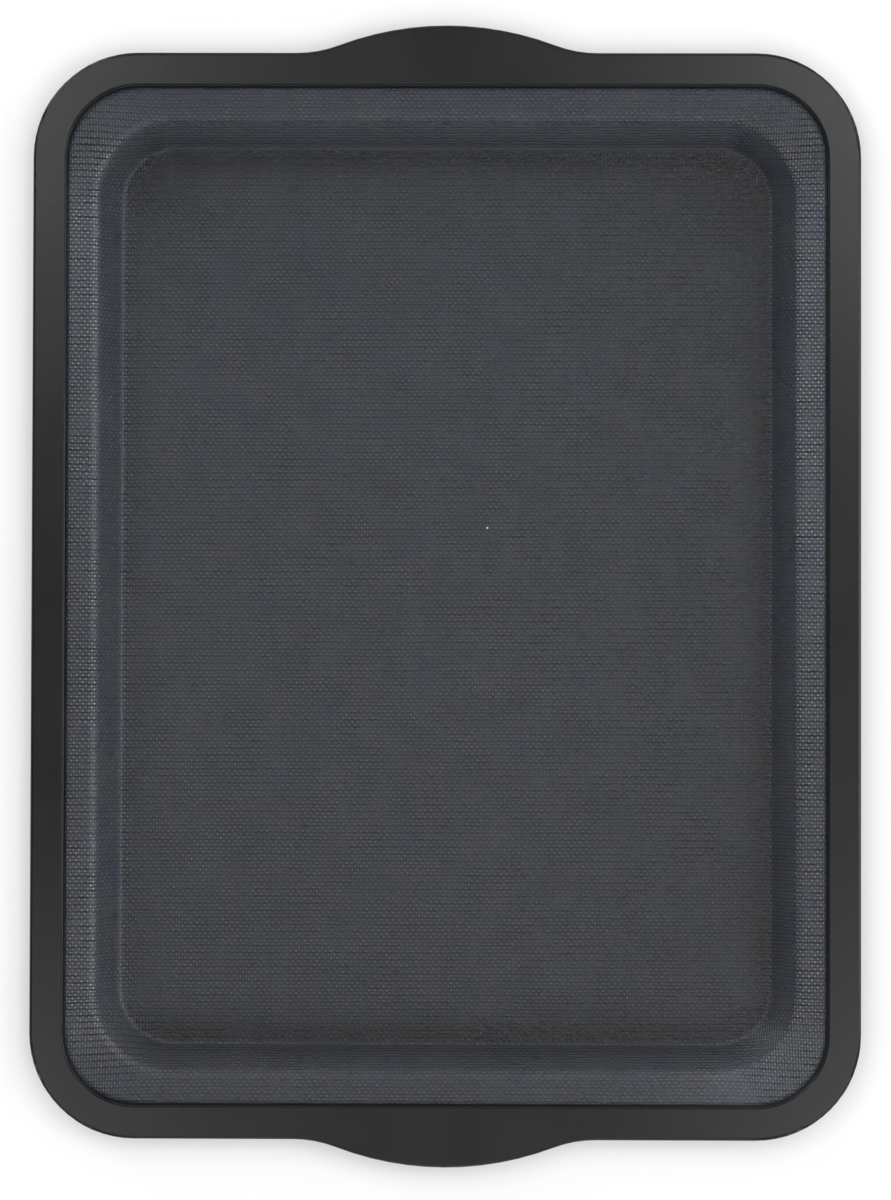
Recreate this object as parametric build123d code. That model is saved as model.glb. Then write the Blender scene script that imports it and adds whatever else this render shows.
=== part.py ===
from build123d import *
import math
import os

# Flexible baking mat formed as a shallow tray: a silicone-coated glass cloth dish
# whose edge is moulded into a thick silicone rim with a handle tab at each short end.
# X runs across the mat, Y along it, Z up. The origin is under the middle of the tray
# floor, on the surface that the mat rests on. All lengths are in millimetres.

# Rim, seen from above
rim_width = 300
rim_length = 393
rim_corner_radius = 38
rim_band = 11.6

# Rim, in section
rim_above_flange = 1.6
rim_below_flange = 2
rim_outer_round = 1.2
rim_inner_round = 0.3

# Handle tab at each short end
handle_span = 109
handle_standout = 10
handle_blend_radius = 43

# Steel hoop moulded into the rim
wire_diameter = 2.4
mould_clearance = 0.05

# Laminate of the tray, from the top skin down
top_coat_thickness = 0.3
cloth_thickness = 0.25
bottom_coat_thickness = 0.25
laminate_grip = 5

# Form of the tray, measured on its top skin. The slope is in degrees from level.
tray_depth = 10
wall_slope = 47
shoulder_radius = 6
fold_radius = 2
side_flange = 8.4
end_flange = 10
floor_corner_radius = 19.6

# One overrun for every cut
overrun = 5

# Heights of the top skin
laminate_thickness = top_coat_thickness + cloth_thickness + bottom_coat_thickness
floor_top = laminate_thickness
flange_top = floor_top + tray_depth
rim_top = flange_top + rim_above_flange
rim_bottom = flange_top - laminate_thickness - rim_below_flange
rim_middle = (rim_top + rim_bottom) / 2

# The wire lies midway between the rim's outer edge and the laminate's edge
wire_inset = (rim_band - laminate_grip) / 2

# Level distance that the tray's wall and each of its rounded bends take up
slope_angle = math.radians(wall_slope)
wall_run = tray_depth / math.tan(slope_angle)
shoulder_run = shoulder_radius * math.tan(slope_angle / 2)
fold_run = fold_radius * math.tan(slope_angle / 2)

# Centres of the tray's rounded corners, where the floor's straight sides end
fold_inset = rim_band + shoulder_run + wall_run
corner_x = rim_width / 2 - fold_inset - side_flange - floor_corner_radius
corner_y = rim_length / 2 - fold_inset - end_flange - floor_corner_radius
corner_reach = math.hypot(rim_width / 2 - corner_x, rim_length / 2 - corner_y)


def inset_outline(inset):
    """Rounded rectangle that runs inside the rim's outer edge at an even distance."""
    width = rim_width - 2 * inset
    length = rim_length - 2 * inset
    return RectangleRounded(width, length, rim_corner_radius - inset)


def handle_outline():
    """Tab standing out past the +Y end: a crown arc that runs into a blend arc at each foot."""
    half_span = handle_span / 2
    turn = 2 * math.atan(handle_standout / half_span)
    crown_radius = half_span / math.sin(turn) - handle_blend_radius
    foot = (half_span, 0)
    join = (crown_radius * math.sin(turn), handle_blend_radius * (1 - math.cos(turn)))
    crown = (0, handle_standout)
    right_blend = TangentArc(foot, join, tangent=(-1, 0))
    crown_arc = ThreePointArc(join, crown, (-join[0], join[1]))
    left_blend = TangentArc((-foot[0], 0), (-join[0], join[1]), tangent=(1, 0))
    root = Polyline(foot, (half_span, -rim_band), (-half_span, -rim_band), (-foot[0], 0))
    return make_face([right_blend, crown_arc, left_blend, root])


def rim_plan():
    """Outer outline of the rim with both handle tabs."""
    tab = Pos(0, rim_length / 2) * handle_outline()
    return inset_outline(0) + tab + mirror(tab, about=Plane.XZ)


def hoop(radius):
    """Round bar that runs round the rim on the wire's centre line."""
    straight_x = rim_width / 2 - rim_corner_radius
    straight_y = rim_length / 2 - rim_corner_radius
    bend_radius = rim_corner_radius - wire_inset
    bar = Sketch() + Circle(radius)
    side = Pos(straight_x + bend_radius, 0) * extrude(Plane.XZ * bar, straight_y, both=True)
    end = Pos(0, straight_y + bend_radius) * extrude(Plane.YZ * bar, straight_x, both=True)
    bend = revolve(Plane.XZ * Pos(bend_radius, 0) * bar, Axis.Z, 90)
    bend = Pos(straight_x, straight_y) * bend
    quarter = [side, end, bend, mirror(bend, about=Plane.YZ)]
    ring = Part() + quarter + [mirror(piece, about=Plane.XZ) for piece in quarter]
    ring += mirror(side, about=Plane.YZ)
    return Pos(0, 0, rim_middle) * ring


def skin_path(depth):
    """Edges of the skin at one depth under the top skin, from a corner axis outwards."""
    fold_start = floor_corner_radius - fold_run
    shoulder_end = floor_corner_radius + wall_run + shoulder_run
    fold_centre = (fold_start, floor_top + fold_radius)
    shoulder_centre = (shoulder_end, flange_top - shoulder_radius)
    fold = CenterArc(fold_centre, fold_radius + depth, -90, wall_slope)
    shoulder = CenterArc(shoulder_centre, shoulder_radius - depth, 90 + wall_slope, -wall_slope)
    floor = Line((0, floor_top - depth), fold @ 0)
    wall = Line(fold @ 1, shoulder @ 0)
    flange = Line(shoulder @ 1, (corner_reach, flange_top - depth))
    return [floor, fold, wall, shoulder, flange]


def layer_section(upper, lower):
    """Section of one layer of the laminate between two depths under the top skin."""
    top = skin_path(upper)
    under = skin_path(lower)
    axis_edge = Line(top[0] @ 0, under[0] @ 0)
    outer_edge = Line(top[-1] @ 1, under[-1] @ 1)
    return make_face(top + under + [axis_edge, outer_edge])


def laminate_layer(upper, lower):
    """One layer of the dish: a floor slab, four walls, four round corners, trimmed to the grip."""
    section = Plane.XZ * layer_section(upper, lower)
    side = Pos(corner_x, 0) * extrude(section, corner_y, both=True)
    end = Pos(0, corner_y) * extrude(Rot(0, 0, 90) * section, corner_x, both=True)
    corner = Pos(corner_x, corner_y) * revolve(section, Axis.Z, 90)
    floor_middle = floor_top - (upper + lower) / 2
    slab = Pos(0, 0, floor_middle) * Box(2 * corner_x, 2 * corner_y, lower - upper)
    half = [side, end, corner, mirror(corner, about=Plane.YZ)]
    layer = slab + half + [mirror(piece, about=Plane.XZ) for piece in half]
    layer += mirror(side, about=Plane.YZ)
    trim = extrude(inset_outline(rim_band - laminate_grip), rim_top)
    return layer & trim


def rim():
    """Silicone rim: a flat ring with tabs, slotted for the laminate and hollow for the wire."""
    thickness = rim_top - rim_bottom
    blank = Pos(0, 0, rim_bottom) * extrude(rim_plan(), thickness)
    blank = fillet(blank.edges().filter_by(Plane.XY), rim_outer_round)
    window = Pos(0, 0, rim_bottom - overrun) * extrude(inset_outline(rim_band), thickness + 2 * overrun)
    ring = blank - window
    window_edges = new_edges(blank, window, combined=ring).filter_by(Plane.XY)
    ring = fillet(window_edges, rim_inner_round)
    slot_outline = inset_outline(rim_band - laminate_grip - mould_clearance)
    slot = Pos(0, 0, flange_top - laminate_thickness) * extrude(slot_outline, laminate_thickness)
    return ring - slot - hoop(wire_diameter / 2 + mould_clearance)


def main():
    cloth_depth = top_coat_thickness
    bottom_depth = top_coat_thickness + cloth_thickness
    pieces = {
        "rim": rim(),
        "rim_wire": hoop(wire_diameter / 2),
        "top_coat": laminate_layer(0, cloth_depth),
        "glass_cloth": laminate_layer(cloth_depth, bottom_depth),
        "bottom_coat": laminate_layer(bottom_depth, laminate_thickness),
    }
    os.makedirs("parts", exist_ok=True)
    for name, piece in pieces.items():
        export_step(piece, f"parts/{name}.step")
        box = piece.bounding_box()
        print(name, "volume", round(piece.volume, 1), "box", box.min, box.max)


main()
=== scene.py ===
# %% [markdown]
# A flexible baking mat, formed as a shallow tray
#
# The object is a dish of silicone-coated glass cloth whose edge is held in a thick
# silicone rim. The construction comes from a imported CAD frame. This script adds the
# finish: formed skins with the soft bends of real coated cloth, and a material for
# each substance. Everything is in metres, in the frame's own axes, with Z up.

# %% Load the frame and keep its size
import bmesh
import bpy
import math
import numpy as np
from mathutils import Euler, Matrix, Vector


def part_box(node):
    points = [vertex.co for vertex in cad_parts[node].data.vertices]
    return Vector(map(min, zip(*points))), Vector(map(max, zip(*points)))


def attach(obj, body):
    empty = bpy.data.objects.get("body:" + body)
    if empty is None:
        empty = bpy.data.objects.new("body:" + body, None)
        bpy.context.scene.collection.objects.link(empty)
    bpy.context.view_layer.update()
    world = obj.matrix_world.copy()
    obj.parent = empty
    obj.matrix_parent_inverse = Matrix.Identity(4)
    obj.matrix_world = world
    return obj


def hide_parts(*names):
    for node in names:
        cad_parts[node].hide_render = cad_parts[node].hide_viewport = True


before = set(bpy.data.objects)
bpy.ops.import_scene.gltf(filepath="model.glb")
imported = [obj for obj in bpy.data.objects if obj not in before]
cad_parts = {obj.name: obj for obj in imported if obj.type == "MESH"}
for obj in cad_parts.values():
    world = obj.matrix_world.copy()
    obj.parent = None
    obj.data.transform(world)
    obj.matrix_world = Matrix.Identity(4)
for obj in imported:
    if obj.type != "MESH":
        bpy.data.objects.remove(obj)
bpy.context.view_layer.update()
MM = 0.001
print("pieces in the frame:", sorted(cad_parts))

# %% [markdown]
# Sizes that the skins share with the construction
#
# The coats lie between the rim's two lips, so their outline is read from the frame.
# The form of the tray (the slope of the wall and its two soft bends) can't be read
# from a box, so it is written here in millimetres, as a toolmaker would state it.

# %% Read the outline and state the tray's form
RIM_CORNER_RADIUS = 38 * MM
RIM_BAND = 11.6 * MM
WALL_SLOPE = math.radians(47)
SHOULDER_RADIUS = 6 * MM
FOLD_RADIUS = 2 * MM
SIDE_FLANGE = 8.4 * MM
END_FLANGE = 10 * MM
FLOOR_CORNER_RADIUS = 19.6 * MM
LAMINATE = 0.8 * MM
COAT = 0.3 * MM
UNDER_COAT = 0.25 * MM

rim_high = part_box("rim")[1]
coat_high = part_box("top_coat")[1]
under_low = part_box("bottom_coat")[0]
flange_top = coat_high.z
floor_top = under_low.z + LAMINATE
grip_inset = rim_high.x - coat_high.x
half_width = rim_high.x
half_length = coat_high.y + grip_inset
print("tray depth in mm:", round((flange_top - floor_top) / MM, 2))

# %% [markdown]
# The section of the tray
#
# Cut the tray anywhere and the section is the same: level floor, tight fold, sloping
# wall, soft shoulder, level flange. It depends on one number, the distance from the
# rectangle that joins the centres of the four rounded corners. A single function of
# that distance therefore gives the whole height field, and the length of cloth that
# the wall takes up. Lofting curves would work too, but a formula keeps the bends exact.

# %% Work out the section's stations
wall_run = (flange_top - floor_top) / math.tan(WALL_SLOPE)
shoulder_run = SHOULDER_RADIUS * math.tan(WALL_SLOPE / 2)
fold_run = FOLD_RADIUS * math.tan(WALL_SLOPE / 2)
fold_inset = RIM_BAND + shoulder_run + wall_run
core_x = half_width - fold_inset - SIDE_FLANGE - FLOOR_CORNER_RADIUS
core_y = half_length - fold_inset - END_FLANGE - FLOOR_CORNER_RADIUS
fold_start = FLOOR_CORNER_RADIUS - fold_run
shoulder_end = FLOOR_CORNER_RADIUS + wall_run + shoulder_run
floor_size = [2 * (core + FLOOR_CORNER_RADIUS) / MM for core in (core_x, core_y)]
print("floor in mm:", [round(side, 1) for side in floor_size])


# %% Give the height along the section
def section_height(reach, depth):
    """Height of the skin at a depth under the top skin, for an array of distances."""
    fold = FOLD_RADIUS + depth
    shoulder = SHOULDER_RADIUS - depth
    fold_end = fold_start + fold * math.sin(WALL_SLOPE)
    wall_end = shoulder_end - shoulder * math.sin(WALL_SLOPE)
    fold_rise = fold - np.sqrt(np.clip(fold**2 - (reach - fold_start)**2, 0, None))
    shoulder_drop = shoulder - np.sqrt(np.clip(shoulder**2 - (shoulder_end - reach)**2, 0, None))
    wall_low = fold * (1 - math.cos(WALL_SLOPE))
    wall_rise = wall_low + (reach - fold_end) * math.tan(WALL_SLOPE)
    top = flange_top - floor_top
    rise = np.select(
        [reach < fold_start, reach < fold_end, reach < wall_end, reach < shoulder_end],
        [0 * reach, fold_rise, wall_rise, top - shoulder_drop],
        default=top,
    )
    return floor_top - depth + rise


# %% Measure the cloth that the wall takes up
SECTION_SAMPLES = 400


def extra_cloth(reach):
    """How much longer the cloth is than its plan, from the middle out to each distance."""
    station = np.linspace(0, shoulder_end, SECTION_SAMPLES)
    height = section_height(station, 0)
    steps = np.hypot(np.diff(station), np.diff(height)) - np.diff(station)
    total = np.concatenate([[0], np.cumsum(steps)])
    return np.interp(reach, station, total)


print("cloth taken up by the wall in mm:", round(float(extra_cloth(shoulder_end)) / MM, 2))

# %% [markdown]
# A mesh that follows the bends
#
# A plain grid would cut across the rounded corners. Here the mesh is built from three
# kinds of patch: the floor, a strip along each side, and a fan at each corner, all
# with rows at the same distances, so that every edge runs along a bend or straight
# across it. Rows crowd together where the section curves.

# %% Choose the rows of the mesh
GROOVE_WIDTH = 0.6 * MM
FLOOR_ROWS, FOLD_ROWS, WALL_ROWS, SHOULDER_ROWS = 6, 7, 9, 10
FLANGE_ROWS, GROOVE_ROWS, EDGE_ROWS = 7, 7, 4

floor_rows = np.linspace(0, fold_start, FLOOR_ROWS)
fold_rows = fold_start + FOLD_RADIUS * np.sin(np.linspace(0, WALL_SLOPE, FOLD_ROWS))
shoulder_rows = shoulder_end - SHOULDER_RADIUS * np.sin(np.linspace(WALL_SLOPE, 0, SHOULDER_ROWS))
wall_rows = np.linspace(fold_rows[-1], shoulder_rows[0], WALL_ROWS)[1:-1]
bend_rows = np.concatenate([floor_rows, fold_rows[1:], wall_rows, shoulder_rows])
flange_shares = np.linspace(0, 1, FLANGE_ROWS)[1:]
groove_insets = RIM_BAND + GROOVE_WIDTH * np.linspace(1, 0, GROOVE_ROWS)[1:]
edge_insets = np.linspace(RIM_BAND, grip_inset, EDGE_ROWS)[1:]
row_count = len(bend_rows) + len(flange_shares) + len(groove_insets) + len(edge_insets)
print("rows from the middle to the edge:", row_count)


# %% Place the rows along any direction
def outline_reach(angle, inset, centre_x, centre_y):
    """Distance from a corner centre to the rim-shaped outline at an inset, along an angle."""
    arc_x = half_width - RIM_CORNER_RADIUS - centre_x
    arc_y = half_length - RIM_CORNER_RADIUS - centre_y
    radius = RIM_CORNER_RADIUS - inset
    along = arc_x * math.cos(angle) + arc_y * math.sin(angle)
    across = arc_x * math.sin(angle) - arc_y * math.cos(angle)
    hit = along + math.sqrt(max(radius**2 - across**2, 0))
    x = hit * math.cos(angle)
    y = hit * math.sin(angle)
    if y < arc_y:
        hit = (arc_x + radius) / math.cos(angle)
    elif x < arc_x:
        hit = (arc_y + radius) / math.sin(angle)
    return hit


def row_reaches(angle):
    """Distances of all the rows along one direction out of a corner centre."""
    inner = outline_reach(angle, RIM_BAND + GROOVE_WIDTH, core_x, core_y)
    flange = shoulder_end + (inner - shoulder_end) * flange_shares
    outer = [outline_reach(angle, inset, core_x, core_y) for inset in groove_insets]
    hidden = [outline_reach(angle, inset, core_x, core_y) for inset in edge_insets]
    return np.concatenate([bend_rows, flange, outer, hidden])


print("outermost row in mm:", round(float(row_reaches(0)[-1]) / MM, 2))

# %% Build the patches of the plan
GRID_STEP = 3 * MM
CORNER_STEPS = 24
MERGE_DISTANCE = MM / 100


def fan_column(angle):
    """Points of the rows along one direction out of the +X +Y corner centre."""
    reach = row_reaches(angle)
    return np.stack([core_x + reach * math.cos(angle), core_y + reach * math.sin(angle)], -1)


def quarter_patches():
    """Grids of plan points for the +X +Y quarter: floor, side strip, end strip and corner fan."""
    angles = np.linspace(0, math.pi / 2, CORNER_STEPS + 1)
    along_x = np.linspace(0, core_x, round(core_x / GRID_STEP) + 1)
    along_y = np.linspace(0, core_y, round(core_y / GRID_STEP) + 1)
    across_side = core_x + row_reaches(0)
    across_end = core_y + row_reaches(math.pi / 2)
    axis_pairs = [(along_x, along_y), (across_side, along_y), (along_x, across_end)]
    grids = [np.stack(np.meshgrid(x, y, indexing="ij"), -1) for x, y in axis_pairs]
    return grids + [np.stack([fan_column(angle) for angle in angles], 1)]


def add_grid(work, grid, sign_x, sign_y):
    """Adds one grid to the mesh, mirrored by the signs, with its faces turned up."""
    points = [[work.verts.new((sign_x * x, sign_y * y, 0)) for x, y in row] for row in grid]
    for low, high in zip(points[:-1], points[1:]):
        for a, b, c, d in zip(low[:-1], high[:-1], high[1:], low[1:]):
            work.faces.new((a, b, c, d) if sign_x == sign_y else (d, c, b, a))


def plan_mesh():
    """(x, y, faces) of the whole plan, with the mirrored patches joined at their seams."""
    work = bmesh.new()
    for grid in quarter_patches():
        for sign_x in (1, -1):
            for sign_y in (1, -1):
                add_grid(work, grid, sign_x, sign_y)
    bmesh.ops.remove_doubles(work, verts=work.verts, dist=MERGE_DISTANCE)
    bmesh.ops.dissolve_degenerate(work, edges=work.edges, dist=MERGE_DISTANCE)
    work.verts.index_update()
    points = np.array([vertex.co[:] for vertex in work.verts])
    faces = [[vertex.index for vertex in face.verts] for face in work.faces]
    work.free()
    return points[:, 0], points[:, 1], faces


plan_x, plan_y, plan_faces = plan_mesh()
print("plan points:", len(plan_x), "faces:", len(plan_faces))

# %% [markdown]
# Where the cloth came from
#
# The woven cloth was flat before it was pressed into the tray. Each point of a skin
# therefore remembers where it lay on the flat cloth: its plan position, moved outwards
# by the length that the wall took up. Written as an attribute, this makes the threads
# close up on the walls, as seen from above. Each point also gets shares that say which
# side of the tray it belongs to. They blend round the corners, so whatever differs
# from one side to the next does so without a seam.

# %% Find each point's side and its place on the flat cloth
def plan_fields(x, y):
    """(distance from the core rectangle, its direction in x and in y, inset from the rim's edge)"""
    dx = np.clip(np.abs(x) - core_x, 0, None)
    dy = np.clip(np.abs(y) - core_y, 0, None)
    reach = np.hypot(dx, dy)
    safe = np.where(reach > 0, reach, 1)
    ax = np.abs(x) - (half_width - RIM_CORNER_RADIUS)
    ay = np.abs(y) - (half_length - RIM_CORNER_RADIUS)
    beyond = np.hypot(np.clip(ax, 0, None), np.clip(ay, 0, None))
    inset = RIM_CORNER_RADIUS - beyond - np.minimum(np.maximum(ax, ay), 0)
    return reach, dx / safe * np.sign(x), dy / safe * np.sign(y), inset


reach, out_x, out_y, inset = plan_fields(plan_x, plan_y)
side_share, end_share = out_x**2, out_y**2
right_share, left_share = [np.clip(part, 0, None)**2 for part in (out_x, -out_x)]
back_share, front_share = [np.clip(part, 0, None)**2 for part in (out_y, -out_y)]
corner_share = 4 * side_share * end_share
on_floor = reach < fold_start
from_rim = np.clip(inset - RIM_BAND - GROOVE_WIDTH, 0, None)

taken_up = extra_cloth(reach)
cloth = np.stack([plan_x + out_x * taken_up, plan_y + out_y * taken_up, 0 * reach], -1)
print("half of the flat cloth in mm:", [round(float(cloth[:, axis].max()) / MM, 1) for axis in (0, 1)])

# %% [markdown]
# How far the threads stand out
#
# On the flanges the threads bunch up between the rim and the wall, most of all along
# the two long sides. The walls were pressed smooth by the tool, and the floor lies
# between the two. Each point carries one number for this relief, and one for how
# clearly the lengthways threads and the pairing of the rows show. The material
# multiplies its weave by them, so that one material serves the whole coat. Rows of
# the mesh serve as places along the section, such as the third row of the fold.

# %% Set the relief and the pairing of the weave
SIDE_RELIEF, END_RELIEF, WALL_RELIEF, FLOOR_RELIEF = 3.8, 1.55, 0.9, 1.9
CORNER_RELIEF = 0.6
BACK_WALL_EASE = 0.22
RELIEF_FADE = 0.7 * MM
FLOOR_PAIRS, SIDE_PAIRS, END_PAIRS, CORNER_PAIRS = 0.7, 0.6, 0.5, 0.9

flange_relief = END_RELIEF + (SIDE_RELIEF - END_RELIEF) * side_share + CORNER_RELIEF * corner_share
flange_relief *= np.clip(from_rim / RELIEF_FADE, 0, 1)
level_relief = np.where(on_floor, FLOOR_RELIEF, flange_relief)
wall_relief = WALL_RELIEF - BACK_WALL_EASE * back_share
wall_stations = [fold_rows[2], fold_rows[-1], shoulder_rows[1], shoulder_rows[3]]
wall_share = np.interp(reach, wall_stations, [0, 1, 1, 0])
relief = level_relief + (wall_relief - level_relief) * wall_share

flange_pairs = SIDE_PAIRS * side_share + END_PAIRS * end_share + CORNER_PAIRS * corner_share
pairs = np.where(on_floor, FLOOR_PAIRS, flange_pairs)
print("relief from", round(float(relief.min()), 2), "to", round(float(relief.max()), 2))

# %% [markdown]
# Painted shade at the foot of the walls
#
# Along the foot of each wall the coat is painted darker, a painted shade, and its
# threads are made less sharp there. One curve over the distance from the middle sets how
# much painted shade there is, with its peak just inside the fold, and four depths set
# how dark each side becomes. Painting it by hand would work too, but the curve follows
# the foot of the wall round the corners by itself.

# %% Paint shade along the foot of the wall
FOOT_SHADE_BACK, FOOT_SHADE_FRONT, FOOT_SHADE_LEFT, FOOT_SHADE_RIGHT = 0.95, 0.9, 0.25, 0.65
FOOT_SHADE_FLATTENS = 0.65
FOOT_SHADE_SHARES = {
    fold_start - 17 * MM: 0,
    fold_start - 9 * MM: 0.22,
    fold_start - 5 * MM: 0.55,
    fold_start - 0.5 * MM: 1,
    fold_rows[3]: 0.3,
    fold_rows[-1] + MM: 0.6,
    wall_rows[-1]: 0.15,
}

# Painted shade: how dark the foot of each side's wall becomes
foot_shade_depth = FOOT_SHADE_BACK * back_share + FOOT_SHADE_FRONT * front_share
foot_shade_depth += FOOT_SHADE_RIGHT * right_share + FOOT_SHADE_LEFT * left_share
foot_shade = foot_shade_depth * np.interp(reach, list(FOOT_SHADE_SHARES), list(FOOT_SHADE_SHARES.values()))
relief *= 1 - FOOT_SHADE_FLATTENS * foot_shade
print("deepest creep:", round(float(foot_shade.max()), 2))

# %% [markdown]
# Painted light and shade of the coat
#
# The tone multiplies the colour of the coat at each point, and most of it is painted
# light and shade. It is darker on the floor than on the flanges, and the floor is painted
# darker still towards its right and its ends, a painted shade. Soft painted highlights
# run along the bends, and the flanges and corners get painted light and shade too. The
# amounts were found by comparing renders with a picture of the mat.

# %% Set the tone of floor, wall and flange
FLOOR_TONE, WALL_TONE, SIDE_TONE = 0.81, 1.08, 1.12
RIGHT_FALL, FRONT_FALL, BACK_FALL = 0.14, 0.07, 0.12


def way_share(place, end):
    """How far each point lies towards an end, from 0 at the middle to 1 at the end."""
    return np.clip(place / end, 0, 1)


tone_stations = [fold_rows[0], fold_rows[-1], shoulder_rows[0], shoulder_rows[4]]
level_tone = np.interp(reach, tone_stations, [FLOOR_TONE, WALL_TONE, WALL_TONE, 1])
# Painted shade: the floor darker towards its right and its ends
floor_fall = RIGHT_FALL * way_share(plan_x, core_x)**2
floor_fall += FRONT_FALL * way_share(-plan_y, core_y)**4 + BACK_FALL * way_share(plan_y, core_y)**4
level_tone -= np.where(on_floor, floor_fall, 0)
print("floor tone from", round(float(level_tone[on_floor].min()), 2), "to", FLOOR_TONE)

# %% Paint light and shade on the two side flanges and the front right corner
SIDE_END = 0.85
LEFT_LEVEL, LEFT_RISE, LEFT_DIP = 0.96, 0.27, 0.52
RIGHT_LEVEL, RIGHT_RISE, RIGHT_PEAK, RIGHT_SPREAD = 1.14, 0.5, 0.5, 0.6
FRONT_RIGHT_RISE, FRONT_CORNER_SHARE = 0.4, 0.5

along_side = np.clip(plan_y / core_y, -SIDE_END, SIDE_END)
left_tone = SIDE_TONE * (LEFT_LEVEL + LEFT_RISE * along_side + LEFT_DIP * along_side**2)
right_hump = np.exp(-((along_side - RIGHT_PEAK) / RIGHT_SPREAD)**2)
right_tone = SIDE_TONE * (RIGHT_LEVEL + RIGHT_RISE * right_hump)
side_tone = np.where(plan_x < 0, left_tone, right_tone)
on_flange = np.interp(reach, [shoulder_rows[1], shoulder_rows[4]], [0, 1])
level_tone += (side_tone - 1) * side_share * on_flange
front_part = front_share + FRONT_CORNER_SHARE * corner_share * (plan_y < 0)
# Painted light on the flange in the front right corner
level_tone += FRONT_RIGHT_RISE * way_share(plan_x, core_x)**3 * front_part * on_flange
print("side flanges from", round(float(side_tone.min()), 2), "to", round(float(side_tone.max()), 2))

# %% Paint highlights along the bends
BEND_BACK, BEND_FRONT, BEND_LEFT = 0.35, 0.3, 1.2
BEND_PLACE, BEND_HALF = 1.6 * MM, 2 * MM
BEND_SHIFT_LEFT = 0.9 * MM
FOLD_HIGHLIGHT, FOLD_HALF = 0.5, 1.8 * MM


def line_share(place, half):
    """Strength of a soft line that runs round the tray at a distance, with a half width."""
    return np.clip(1 - np.abs(reach - place) / half, 0, 1)


# Painted highlights along the shoulder, strongest on the left, and along the left fold
bend_highlight = BEND_BACK * back_share + BEND_FRONT * front_share + BEND_LEFT * left_share
bend_place = shoulder_end - BEND_PLACE - BEND_SHIFT_LEFT * left_share
level_tone += bend_highlight * line_share(bend_place, BEND_HALF)
level_tone += FOLD_HIGHLIGHT * left_share * line_share(fold_rows[4], FOLD_HALF)
print("palest line at a bend:", round(float(level_tone[~on_floor].max()), 2))

# %% Paint light and shade on the corners, and a shadow in the groove
# Place across and along in mm, size in mm, and change of tone: painted light where it is positive, painted
# shade where it is negative
CORNER_LIGHT_AND_SHADE = [
    (110, -168, 24, 0.4),
    (-134, -164, 14, 0.22),
    (134, 160, 14, -0.3),
    (-136, 160, 14, -0.42),
    (104, 150, 20, -0.2),
    (-104, 150, 20, -0.22),
]
PINCH_DARK, PINCH_SOFT = 0.6, 0.45 * MM
LEAST_TONE = 0.3

for at_x, at_y, size, change in CORNER_LIGHT_AND_SHADE:
    far = np.hypot(plan_x / MM - at_x, plan_y / MM - at_y) / size
    level_tone += change * np.exp(-far**2)
# Painted shadow in the groove beside the rim
pinch_shade = np.clip((RIM_BAND + GROOVE_WIDTH + PINCH_SOFT - inset) / PINCH_SOFT, 0, 1)
tone = np.clip(level_tone, LEAST_TONE, None) * (1 - foot_shade) * (1 - PINCH_DARK * pinch_shade)
print("tone from", round(float(tone.min()), 2), "to", round(float(tone.max()), 2))

# %% [markdown]
# How real skins differ from the plain form
#
# Three small things tell a formed sheet from a drawing of it. The flange sags a
# fraction of a millimetre towards the shoulder, because only the rim holds it up. The
# top coat swells by up to a tenth of a millimetre in slow waves, as cured silicone
# does. And a fine groove runs along the rim, where the hot rim was moulded over the
# coat. All three are heights over the plan, so they are simply added to the section.

# %% Work out the sag
SAG = 0.4 * MM
NEVER_ZERO = MM / 100

wall_span = shoulder_end - fold_start
from_shoulder = reach - shoulder_end
across_flange = from_rim / (from_rim + np.clip(from_shoulder, 0, None) + NEVER_ZERO)
down_wall = np.clip(-from_shoulder / wall_span, 0, 1)
sag_slope = 2 * SAG * wall_span / SIDE_FLANGE
sag_on_wall = SAG * (2 * down_wall**3 - 3 * down_wall**2 + 1) + sag_slope * down_wall * (1 - down_wall)**2
sag = np.where(from_shoulder > 0, SAG * across_flange**2, sag_on_wall)
print("deepest sag in mm:", round(float(sag.max()) / MM, 2))

# %% Work out the swell and the groove
SWELL = 0.12 * MM
SWELL_WAVES, SWELL_LENGTH, SWELL_SEED = 9, 55 * MM, 4
GROOVE_DEPTH = 0.22 * MM


def soft_waves(x, y, count, shortest, seed):
    """Sum of a few seeded plane waves, from -1 to 1, for the slow unevenness of soft sheet."""
    random = np.random.default_rng(seed)
    total = np.zeros_like(x)
    for _ in range(count):
        wavelength = shortest * random.uniform(1, 3)
        heading = random.uniform(0, 2 * math.pi)
        along = x * math.cos(heading) + y * math.sin(heading)
        total += np.sin(2 * math.pi * along / wavelength + random.uniform(0, 2 * math.pi))
    return total / count


free = np.clip(from_rim / SIDE_FLANGE, 0, 1)
waves = soft_waves(plan_x, plan_y, SWELL_WAVES, SWELL_LENGTH, SWELL_SEED)
swell = SWELL * (0.5 + 0.5 * waves) * free
from_groove = np.abs(inset - RIM_BAND - GROOVE_WIDTH / 2)
pinch = np.clip(1 - from_groove / (GROOVE_WIDTH / 2), 0, 1)
groove = GROOVE_DEPTH * np.sin(pinch * math.pi / 2)
print("swell up to", round(float(swell.max()) / MM, 2), "mm, groove", round(float(groove.max()) / MM, 2))

# %% [markdown]
# Three thin shells
#
# The coats and the cloth between them are each a closed shell: an upper surface, a
# lower surface below it, and a narrow wall round the edge. Neighbours share one
# surface, as the silicone is cured onto the glass. A solidify modifier would give each
# shell its thickness too, but not the bends of the real layers, which share centres.

# %% Build the shells
def edge_pairs(faces):
    """Directed edges that belong to one face only, so they run round the open border."""
    edges = dict.fromkeys((a, b) for face in faces for a, b in zip(face, face[1:] + face[:1]))
    return [(a, b) for a, b in edges if (b, a) not in edges]


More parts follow.
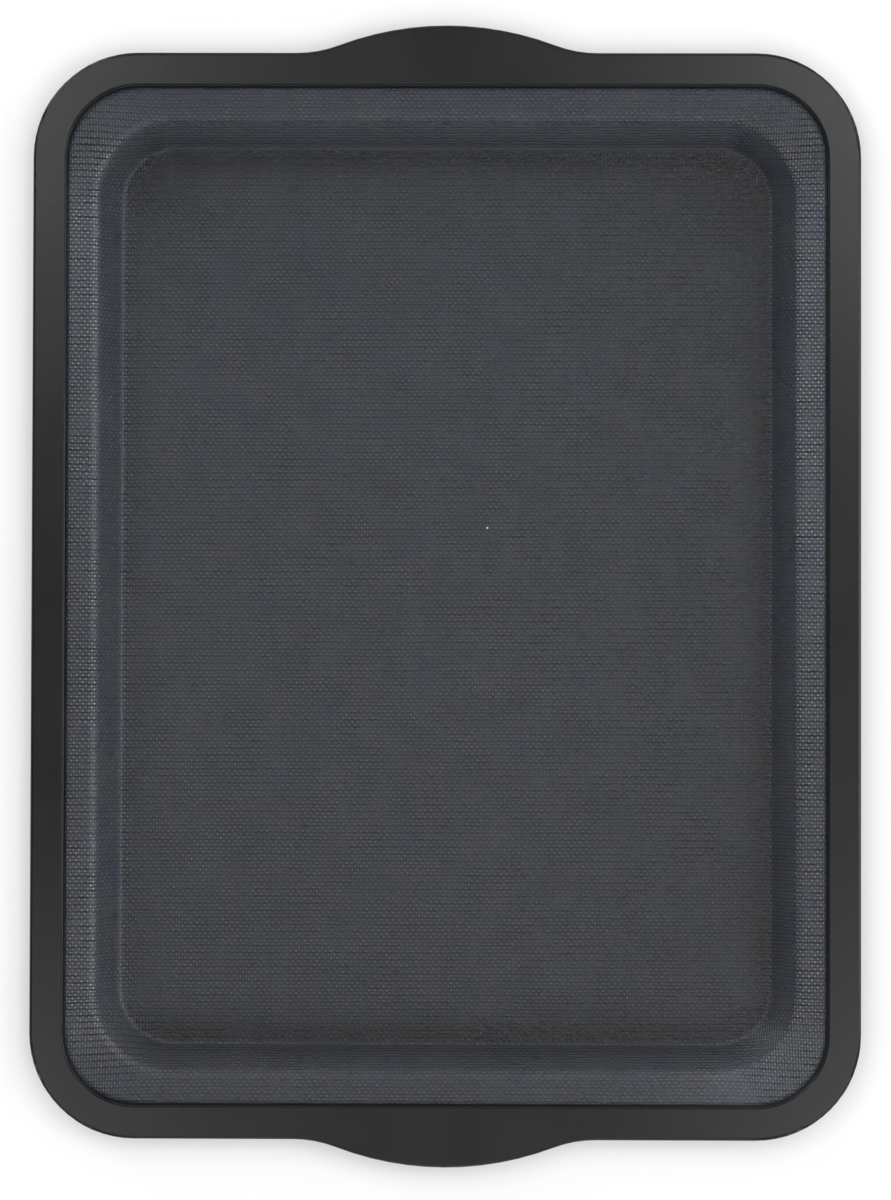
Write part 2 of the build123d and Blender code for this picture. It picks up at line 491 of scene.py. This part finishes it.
def add_shell(name, node, upper, lower):
    """Closed shell between two height arrays over the plan, standing for its CAD node."""
    count = len(plan_x)
    points = np.concatenate([np.stack([plan_x, plan_y, z], -1) for z in (upper, lower)])
    under_faces = [[corner + count for corner in reversed(face)] for face in plan_faces]
    border = [(b, a, a + count, b + count) for a, b in edge_pairs(plan_faces)]
    mesh = bpy.data.meshes.new(name)
    mesh.from_pydata(points, [], plan_faces + under_faces + border)
    mesh.shade_smooth()
    fields = {"relief": relief, "tone": tone, "pairs": pairs}
    for field_name, values in fields.items():
        both = np.concatenate([values, values])
        mesh.attributes.new(field_name, "FLOAT", "POINT").data.foreach_set("value", both)
    flat_cloth = np.concatenate([cloth, cloth]).ravel()
    mesh.attributes.new("cloth", "FLOAT_VECTOR", "POINT").data.foreach_set("vector", flat_cloth)
    shell = bpy.data.objects.new(name, mesh)
    bpy.context.scene.collection.objects.link(shell)
    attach(shell, "root")
    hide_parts(node)
    thinnest = float((upper - lower).min()) / MM
    print(name, "faces:", len(mesh.polygons), "thinnest in mm:", round(thinnest, 2))
    return shell


top_face = section_height(reach, 0) - sag + swell - groove
cloth_face = section_height(reach, COAT) - sag
under_coat_face = section_height(reach, LAMINATE - UNDER_COAT) - sag
under_face = section_height(reach, LAMINATE) - sag
top_skin = add_shell("top_skin", "top_coat", top_face, cloth_face)
glass_skin = add_shell("glass_skin", "glass_cloth", cloth_face, under_coat_face)
under_skin = add_shell("under_skin", "bottom_coat", under_coat_face, under_face)

# %% [markdown]
# The glass cloth as it was cut
#
# The cloth is cut flat before it is formed. Its flat size is the tray's plan, with the
# length that each wall takes up added on every side, also round the corners. There the
# formed cloth is shorter round than the cut one. A weave takes that up by shearing its
# threads, without a crease, so no pleats are modelled.

# %% [markdown]
# Helpers for materials
#
# Colours are written as the hex values that a picture editor shows, and one function
# turns them into the linear values that Cycles works in. One more adds any node, with
# its settings, values and links, and a few short ones name the nodes that come up
# often. Each material then reads as a list of steps. Soft noise rarely strays far from
# a half, so two spans of it are named and stretched to the values that are wanted.

# %% Colours in linear light
def linear(hex_colour):
    """Linear RGBA of an sRGB hex colour."""
    channels = [int(hex_colour[i:i + 2], 16) / 255 for i in (1, 3, 5)]
    return (*[c / 12.92 if c <= 0.04045 else ((c + 0.055) / 1.055) ** 2.4 for c in channels], 1)


print("linear value of the mid grey #808080:", round(linear("#808080")[0], 3))


# %% Short names for common nodes
NARROW_SPAN = (0.35, 0.65)
WIDE_SPAN = (0.3, 0.7)


def add(tree, kind, inputs, **settings):
    """Adds a node of a kind. Inputs are values, or nodes and sockets to link from."""
    node = tree.nodes.new("ShaderNode" + kind)
    for name, value in settings.items():
        setattr(node, name, value)
    for key, value in inputs.items():
        if isinstance(value, bpy.types.Node):
            value = value.outputs[0]
        if isinstance(value, bpy.types.NodeSocket):
            tree.links.new(value, node.inputs[key])
        else:
            node.inputs[key].default_value = value
    return node


def calc(tree, operation, *values):
    """A math node that works on values, nodes or sockets."""
    return add(tree, "Math", dict(enumerate(values)), operation=operation)


def vector_calc(tree, operation, first, second):
    """A vector math node that works on two vectors."""
    return add(tree, "VectorMath", {0: first, 1: second}, operation=operation)


def scaled(tree, vector, factor):
    """A vector or a colour times a factor."""
    return add(tree, "VectorMath", {0: vector, "Scale": factor}, operation="SCALE")


def axes(tree, vector):
    """The X, Y and Z of a vector, or the three channels of a colour."""
    return add(tree, "SeparateXYZ", {0: vector}).outputs


def noise(tree, place, size, detail, roughness=0.5):
    """Soft noise with features of a size."""
    inputs = {"Vector": place, "Scale": 1 / size, "Detail": detail, "Roughness": roughness}
    return add(tree, "TexNoise", inputs)


def spread(tree, factor, span, values):
    """A span of the factor, stretched to a pair of values and held at its ends."""
    return add(tree, "MapRange", {0: factor, 1: span[0], 2: span[1], 3: values[0], 4: values[1]})


def mixed(tree, share, low, high):
    """Two colours mixed by a share of the second."""
    return add(tree, "Mix", {0: share, 6: low, 7: high}, data_type="RGBA").outputs[2]


def ramp(tree, factor, span, low, high):
    """A smooth step over a span of the factor, from one colour to another."""
    inputs = {0: factor, 1: span[0], 2: span[1]}
    return mixed(tree, add(tree, "MapRange", inputs, interpolation_type="SMOOTHSTEP"), low, high)


# %% Helpers that begin and end a material
def new_material(name):
    """(material, its empty node tree)"""
    material = bpy.data.materials.new(name)
    material.use_nodes = True
    material.node_tree.nodes.clear()
    return material, material.node_tree


def show(tree, shader):
    """Makes a shader the surface of its material."""
    output = tree.nodes.new("ShaderNodeOutputMaterial")
    tree.links.new(shader.outputs[0], output.inputs[0])


def add_shader(tree, colour, rough, bump):
    """The one shader of a plain material, with its colour, roughness and bump."""
    shader = add(tree, "BsdfPrincipled", {"Base Color": colour, "Roughness": rough, "Normal": bump})
    show(tree, shader)
    return shader


def place_on(tree):
    """Position of a point in the object's own metres."""
    return add(tree, "TexCoord", {}).outputs["Object"]


def carried(tree, name, output="Fac"):
    """A value that each point of the mesh carries under a name."""
    return add(tree, "Attribute", {}, attribute_name=name).outputs[output]


names = [item.name for item in top_skin.data.attributes if item.domain == "POINT"]
print("values that each point of a skin carries:", names)

# %% [markdown]
# Silicone coat over glass cloth
#
# Real thing: liquid silicone spread on a plain-woven glass cloth and cured under
# pressure. Threads pass over and under each other, so each weft row is a line of short
# crests, and the next row's crests stand in its gaps. The relief could be displaced
# geometry, but a thread is barely a tenth of a millimetre high, so a bump from cosine
# waves in cloth coordinates gives the same shading. Threads wander, kink and lie in
# pairs here and there, and some rows stand prouder than others.

# %% Weave of the cloth
REPEAT_ACROSS = 2.13 * MM
REPEAT_ALONG = 2.57 * MM
ROW_SHARE, CROSSING_SHARE, COLUMN_SHARE, PAIR_SHARE = 0.25, 0.27, 0.22, 0.13
THREAD_WANDER, WANDER_SIZE = 0.7 * MM, 25 * MM
THREAD_KINK, KINK_SIZE = 0.32 * MM, 2.4 * MM
PAIRING_SIZE, PAIRING_VALUES = 25 * MM, (0.3, 1.7)


def wave(tree, coordinate, length, shift=0):
    """Cosine of a coordinate, from -1 to 1, that repeats after a length."""
    return calc(tree, "COSINE", calc(tree, "MULTIPLY_ADD", coordinate, 2 * math.pi / length, shift))


def patches(tree, place, size, values):
    """Slow noise with features of a size, spread between two values."""
    return spread(tree, noise(tree, place, size, 2), NARROW_SPAN, values)


def jitter(tree, place, size, detail, width):
    """Offset that drifts from place to place within a width."""
    drift = noise(tree, place, size, detail).outputs["Color"]
    return scaled(tree, vector_calc(tree, "SUBTRACT", drift, (0.5, 0.5, 0.5)), width)


def woven_height(tree, cloth):
    """Height of the woven threads, about 0 to 1, wandering a little as threads do."""
    wander = jitter(tree, cloth, WANDER_SIZE, 2, THREAD_WANDER)
    kink = jitter(tree, cloth, KINK_SIZE, 1, THREAD_KINK)
    axis = axes(tree, vector_calc(tree, "ADD", cloth, vector_calc(tree, "ADD", wander, kink)))
    across = wave(tree, axis["X"], REPEAT_ACROSS)
    along = wave(tree, axis["Y"], REPEAT_ALONG)
    columns = wave(tree, axis["X"], REPEAT_ACROSS / 2)
    rows = wave(tree, axis["Y"], REPEAT_ALONG / 2)
    gaps = wave(tree, axis["Y"], REPEAT_ALONG, math.pi / 2)
    crossing = calc(tree, "MULTIPLY", across, along)
    pairing = calc(tree, "MULTIPLY", gaps, patches(tree, cloth, PAIRING_SIZE, PAIRING_VALUES))
    pairing = calc(tree, "MULTIPLY", pairing, PAIR_SHARE)
    extra = calc(tree, "MULTIPLY_ADD", columns, COLUMN_SHARE, pairing)
    height = calc(tree, "MULTIPLY_ADD", rows, ROW_SHARE, 0.5)
    height = calc(tree, "MULTIPLY_ADD", crossing, CROSSING_SHARE, height)
    return calc(tree, "MULTIPLY_ADD", extra, carried(tree, "pairs"), height)


print("threads in mm:", round(REPEAT_ACROSS / 2 / MM, 2), "by", round(REPEAT_ALONG / 2 / MM, 2))

# %% Strength of single rows
STREAK_LENGTH = 3.5 * MM
STREAK_VALUES = (0.45, 1.65)
PATCH_SIZE, PATCH_VALUES = 14 * MM, (0.7, 1.3)


def thread_strength(tree, cloth):
    """How proud the threads stand: broad patches, with streaks along single weft rows."""
    stretched = vector_calc(tree, "MULTIPLY", cloth, (1 / STREAK_LENGTH, 2 / REPEAT_ALONG, 0))
    inputs = {"Vector": stretched, "Scale": 1, "Detail": 1}
    streaks = add(tree, "TexNoise", inputs, noise_dimensions="2D")
    streak = spread(tree, streaks, WIDE_SPAN, STREAK_VALUES)
    return calc(tree, "MULTIPLY", streak, patches(tree, cloth, PATCH_SIZE, PATCH_VALUES))


print("proudest row against the faintest:", round(STREAK_VALUES[1] / STREAK_VALUES[0], 1), "times")

# %% [markdown]
# Colour of the coat
#
# The pigment is a blue-grey with slow neutral and greenish clouds, a shade warmer
# towards the front, and here and there a soft dark spot. A fleck of white dust is
# cured into the floor. An image texture would tie all this to one mat. Noise keeps the
# same character at any size.

# %% Pigment with clouds, spots and a speck
CLOUD_SIZE = 12 * MM
FRONT_WARMTH = -0.6
GREEN_SPAN, GREEN_SHARES = (0.5, 0.8), (0, 0.7)
CLOUD_SHADES = (0.9, 1.1)
SPOT_SPACING = 17 * MM
SPOT_SPAN, SPOT_SIZES = (0.3, 1), (0.01, 0.12)
SPOT_DARK = 0.62
SPECK_PLACE = (15 * MM, 24.6 * MM, 0.85 * MM)
SPECK_RADIUS = 0.4 * MM


def coat_colour(tree, place):
    """Blue-grey pigment with clouds, soft dark spots and one pale speck."""
    hue = axes(tree, noise(tree, place, CLOUD_SIZE, 3, roughness=0.55).outputs["Color"])
    warmth = calc(tree, "MULTIPLY_ADD", axes(tree, place)["Y"], FRONT_WARMTH, hue["X"])
    colour = ramp(tree, warmth, NARROW_SPAN, linear("#2f353f"), linear("#35373d"))
    green = spread(tree, hue["Y"], GREEN_SPAN, GREEN_SHARES)
    colour = mixed(tree, green, colour, linear("#31373a"))
    shade = spread(tree, hue["Z"], WIDE_SPAN, CLOUD_SHADES)
    inputs = {"Vector": place, "Scale": 1 / SPOT_SPACING}
    cells = add(tree, "TexVoronoi", inputs, voronoi_dimensions="2D")
    size = spread(tree, axes(tree, cells.outputs["Color"])["X"], SPOT_SPAN, SPOT_SIZES)
    spot = spread(tree, cells.outputs["Distance"], (0, size), (SPOT_DARK, 1))
    colour = scaled(tree, scaled(tree, colour, shade), spot)
    from_speck = vector_calc(tree, "DISTANCE", place, SPECK_PLACE).outputs["Value"]
    speck = spread(tree, from_speck, (SPECK_RADIUS, SPECK_RADIUS / 2), (0, 1))
    return mixed(tree, speck, colour, linear("#e8e8e4"))


print("speck in mm:", [round(part / MM, 1) for part in SPECK_PLACE])

# %% [markdown]
# Skin of the coat
#
# The crests are painted lighter and greyer, partly the pale glass under the thin coat
# and partly a painted highlight, and the valleys darker, a painted shade. On the side
# flanges the relief is so strong that a bump alone would turn the valleys black, so the
# bump is capped there and the painted crests carry the rest. The skin has a satin shine,
# a little smoother where the painted shade is deepest. Silicone's IOR is about 1.41.

# %% Silicone-coated cloth material
RELIEF_HEIGHT = 0.13 * MM
STEEPEST = 3
THREAD_PALE = 0.5
CREST_SPAN, CREST_VALUES = (0.3, 1.1), (-0.3, 1)
PALE_SPAN, GREY_SHARES = (1, 2.2), (0, 0.9)
RUB_SIZE = 24 * MM
COAT_ROUGHNESS = (0.31, 0.37)
DEEP_SHADE_SPAN, DEEP_SHADE_SMOOTHER = (0.02, 0.45), (-0.05, 0)
SILICONE_IOR = 1.41


def coated_cloth():
    """Satin silicone over a plain weave."""
    material, tree = new_material("silicone coated glass cloth")
    cloth = carried(tree, "cloth", "Vector")
    place = place_on(tree)
    tone_field = carried(tree, "tone")
    height = woven_height(tree, cloth)
    proud = calc(tree, "MULTIPLY", thread_strength(tree, cloth), carried(tree, "relief"))
    raised = calc(tree, "MULTIPLY", height, calc(tree, "MINIMUM", proud, STEEPEST))
    bump = add(tree, "Bump", {"Distance": RELIEF_HEIGHT, "Height": raised})
    # Painted highlight on the crests and painted shade in the valleys, partly the pale glass under a thin
    # coat
    crest = calc(tree, "MULTIPLY", spread(tree, height, CREST_SPAN, CREST_VALUES), proud)
    pale = calc(tree, "MULTIPLY_ADD", crest, THREAD_PALE, 1)
    grey = spread(tree, pale, PALE_SPAN, GREY_SHARES)
    colour = coat_colour(tree, place)
    colour = mixed(tree, grey, colour, add(tree, "RGBToBW", {0: colour}))
    # The tone carries the painted light and shade
    colour = scaled(tree, scaled(tree, colour, pale), tone_field)
    rough = spread(tree, noise(tree, place, RUB_SIZE, 2), WIDE_SPAN, COAT_ROUGHNESS)
    # Smoother where the painted shade is deepest
    rough = calc(tree, "ADD", rough, spread(tree, tone_field, DEEP_SHADE_SPAN, DEEP_SHADE_SMOOTHER))
    shader = add_shader(tree, colour, rough, bump)
    shader.inputs["IOR"].default_value = SILICONE_IOR
    return material


coat_material = coated_cloth()
for skin in (top_skin, under_skin):
    skin.data.materials.append(coat_material)
print(coat_material.name, "nodes:", len(coat_material.node_tree.nodes))

# %% [markdown]
# Moulded silicone rim
#
# Real thing: silicone rubber, compression moulded in a blasted steel tool, which leaves
# a matt skin with a fine even grain. It is nearly black, so most of what the eye sees
# is the soft reflection of the lamps, brighter towards the corners. The rim keeps the
# mesh of the construction, whose edges are already rounded, and only gets a material.

# %% Silicone rubber material
GRAIN_SIZE, GRAIN_HEIGHT = 0.35 * MM, 0.004 * MM
RIM_CLOUD_SIZE = 28 * MM
RIM_ROUGHNESS = (0.265, 0.3)


def moulded_silicone():
    """Satin charcoal silicone rubber with the fine grain of a blasted mould."""
    material, tree = new_material("moulded silicone rubber")
    place = place_on(tree)
    cloud = noise(tree, place, RIM_CLOUD_SIZE, 3)
    colour = ramp(tree, cloud, NARROW_SPAN, linear("#111413"), linear("#151515"))
    rough = spread(tree, cloud, WIDE_SPAN, RIM_ROUGHNESS)
    grain = noise(tree, place, GRAIN_SIZE, 2)
    bump = add(tree, "Bump", {"Distance": GRAIN_HEIGHT, "Height": grain})
    shader = add_shader(tree, colour, rough, bump)
    shader.inputs["IOR"].default_value = SILICONE_IOR
    return material


def dress(node, material):
    """Puts one material on a CAD node."""
    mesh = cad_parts[node].data
    mesh.materials.clear()
    mesh.materials.append(material)
    print(node, "is dressed in", material.name)


dress("rim", moulded_silicone())

# %% [markdown]
# What is sealed inside
#
# The bare glass cloth lies between the coats and the hoop of drawn steel wire runs
# inside the rim. Neither shows, but each is a real piece, so each gets its own finish:
# the glass has the same threads as the relief in the coats, and the wire has the fine
# streaks that a die leaves.

# %% Glass cloth and steel wire materials
GLASS_SPAN = (0.1, 0.8)
GLASS_HEIGHT, GLASS_ROUGHNESS = 0.1 * MM, 0.55
STREAK_SIZE, STREAK_DEPTH = 0.4 * MM, 0.01 * MM
WIRE_ROUGHNESS = (0.25, 0.4)


def bare_glass_cloth():
    """Off-white woven glass, with the same threads as the relief in the coats."""
    material, tree = new_material("woven glass cloth")
    height = woven_height(tree, carried(tree, "cloth", "Vector"))
    colour = ramp(tree, height, GLASS_SPAN, linear("#a7a498"), linear("#dcdad0"))
    bump = add(tree, "Bump", {"Distance": GLASS_HEIGHT, "Height": height})
    add_shader(tree, colour, GLASS_ROUGHNESS, bump)
    return material


def drawn_steel():
    """Spring steel wire, drawn through a die, which leaves fine streaks along it."""
    material, tree = new_material("drawn steel wire")
    streaks = noise(tree, place_on(tree), STREAK_SIZE, 2)
    colour = ramp(tree, streaks, WIDE_SPAN, linear("#8f8f90"), linear("#a9a9ab"))
    rough = spread(tree, streaks, WIDE_SPAN, WIRE_ROUGHNESS)
    bump = add(tree, "Bump", {"Distance": STREAK_DEPTH, "Height": streaks})
    shader = add_shader(tree, colour, rough, bump)
    shader.inputs["Metallic"].default_value = 1
    return material


glass_skin.data.materials.append(bare_glass_cloth())
dress("rim_wire", drawn_steel())

# %% [markdown]
# White table
#
# The tray lies on a matt white table that runs out of sight. A table lit like the tray
# would be grey in the picture, and more light would wash out the tray. So the camera
# and reflections see the table lifted to white by a glow, while its light on the tray
# stays that of a plain white surface. Near the tray the glow is dimmed by ambient
# occlusion, a painted contact shadow: the soft dark line that any object shows where it
# meets its table.

# %% White table
TABLE_SIZE = 8
WHITE_SHARE, SEEN_SHARE = 0.8, 0.3
GLOW = 0.7
CONTACT_WIDTH = 14.5 * MM


def white_table():
    """Matt white laminate, which the camera and reflections see lifted to white."""
    material, tree = new_material("matt white table")
    greys = [(share, share, share, 1) for share in (WHITE_SHARE, SEEN_SHARE)]
    matt, seen_matt = [add(tree, "BsdfDiffuse", {"Color": grey}) for grey in greys]
    # Painted contact shadow: ambient occlusion dims the glow near the tray
    near = add(tree, "AmbientOcclusion", {"Distance": CONTACT_WIDTH})
    glow = add(tree, "Emission", {"Color": near.outputs["Color"], "Strength": GLOW})
    rays = add(tree, "LightPath", {})
    seen_rays = rays.outputs["Is Camera Ray"]
    for other in ("Is Glossy Ray", "Is Transmission Ray"):
        seen_rays = calc(tree, "MAXIMUM", seen_rays, rays.outputs[other])
    seen = add(tree, "AddShader", {0: seen_matt, 1: glow})
    show(tree, add(tree, "MixShader", {0: seen_rays, 1: matt, 2: seen}))
    return material


table_mesh = bpy.data.meshes.new("table")
edge = TABLE_SIZE / 2
corners = [(-edge, -edge, 0), (edge, -edge, 0), (edge, edge, 0), (-edge, edge, 0)]
table_mesh.from_pydata(corners, [], [(0, 1, 2, 3)])
table = bpy.data.objects.new("table", table_mesh)
bpy.context.scene.collection.objects.link(table)
table_mesh.materials.append(white_table())
print("table of", TABLE_SIZE, "m")

# %% [markdown]
# Soft boxes and room
#
# Round soft boxes hang in rings at one distance from the tray, each ring at its own
# tilt from straight up. The high rings give the floor a blurred reflection and put a
# soft sheen on the rim's corners. The low rings skim over the tray, which models the
# walls, the bends and the threads, and the strongest of their boxes stands at the back
# left. The room itself gives almost no light, but the camera sees it white.

# %% Soft boxes and room
LAMP_DISTANCE = 2
# Tilt in degrees and width of the boxes in metres, then the watts of each box
LAMP_RINGS = {
    (12, 0.55): {"right": 0.4},
    (24, 0.55): {"back right": 6.1, "back left": 4.6, "front left": 3.6, "front": 1.1, "front right": 4.6},
    (50, 0.9): {"right": 12.4},
    (64, 1.1): {
        "back right": 5.5, "back": 4.7, "back left": 12.8,
        "front left": 3.8, "front": 6.6, "front right": 5.3,
    },
    (76, 0.8): {"right": 1.4, "left": 1.8},
}
HEADINGS = ["right", "back right", "back", "back left", "left", "front left", "front", "front right"]
ROOM_LEVEL = 0.02


def add_lamp(name, heading, tilt, size, watts):
    """Round soft box at a heading and a tilt from straight up, aimed at the tray."""
    light = bpy.data.lights.new(name, "AREA")
    light.shape = "DISK"
    light.size = size
    light.energy = watts
    lamp = bpy.data.objects.new(name, light)
    turn = math.radians(heading)
    lean = math.radians(tilt)
    level = LAMP_DISTANCE * math.sin(lean)
    lamp.location = (level * math.cos(turn), level * math.sin(turn), LAMP_DISTANCE * math.cos(lean))
    lamp.rotation_mode = "QUATERNION"
    lamp.rotation_quaternion = lamp.location.to_track_quat("Z", "Y")
    bpy.context.scene.collection.objects.link(lamp)


for (tilt, size), boxes in LAMP_RINGS.items():
    for side, watts in boxes.items():
        add_lamp(f"{side} at {tilt}", 360 / len(HEADINGS) * HEADINGS.index(side), tilt, size, watts)
    print("soft boxes at", tilt, "degrees:", ", ".join(boxes))

world = bpy.data.worlds.new("pale room")
bpy.context.scene.world = world
world.use_nodes = True
room = world.node_tree
room.nodes.clear()
seen_by_camera = add(room, "LightPath", {}).outputs["Is Camera Ray"]
level = add(room, "Mix", {0: seen_by_camera, 2: ROOM_LEVEL, 3: 1}, data_type="FLOAT")
sky = add(room, "Background", {"Color": (1, 1, 1, 1), "Strength": level.outputs[0]})
room_output = room.nodes.new("ShaderNodeOutputWorld")
room.links.new(sky.outputs[0], room_output.inputs[0])

# %% [markdown]
# Camera above, a degree off square
#
# A long lens high above the tray shows all four walls alike. A camera held over a
# table is never quite level, and this one leans about one degree to the front and half
# a degree to the right, with a trace of roll. Its height follows from the lens and
# from how much of the table one pixel of a picture 1200 pixels high shows.

# %% Camera above, a degree off square
PICTURE_HEIGHT = 1200
PIXEL = 0.3611 * MM
CENTRE_RIGHT, CENTRE_UP = 0.3 * PIXEL, 5.5 * PIXEL
LEAN_FRONT, LEAN_RIGHT, ROLL = [math.radians(turn) for turn in (1.13, 0.49, 0.146)]
# Lens and sensor in mm
LENS, SENSOR = 100, 36

stand_off = PICTURE_HEIGHT * PIXEL * LENS / SENSOR
camera_data = bpy.data.cameras.new("camera")
camera_data.lens = LENS
camera_data.sensor_width = SENSOR
camera = bpy.data.objects.new("camera", camera_data)
aim = Vector((-CENTRE_RIGHT, -CENTRE_UP, rim_high.z))
camera.location = aim + Vector((LEAN_RIGHT, -LEAN_FRONT, 1)) * stand_off
leaning = Euler((LEAN_FRONT, LEAN_RIGHT, 0)).to_quaternion()
camera.rotation_mode = "QUATERNION"
camera.rotation_quaternion = leaning @ Euler((0, 0, ROLL)).to_quaternion()
bpy.context.scene.collection.objects.link(camera)
bpy.context.scene.camera = camera
bpy.context.scene.view_settings.view_transform = "Standard"
print("camera height in m:", round(camera.location.z, 3))
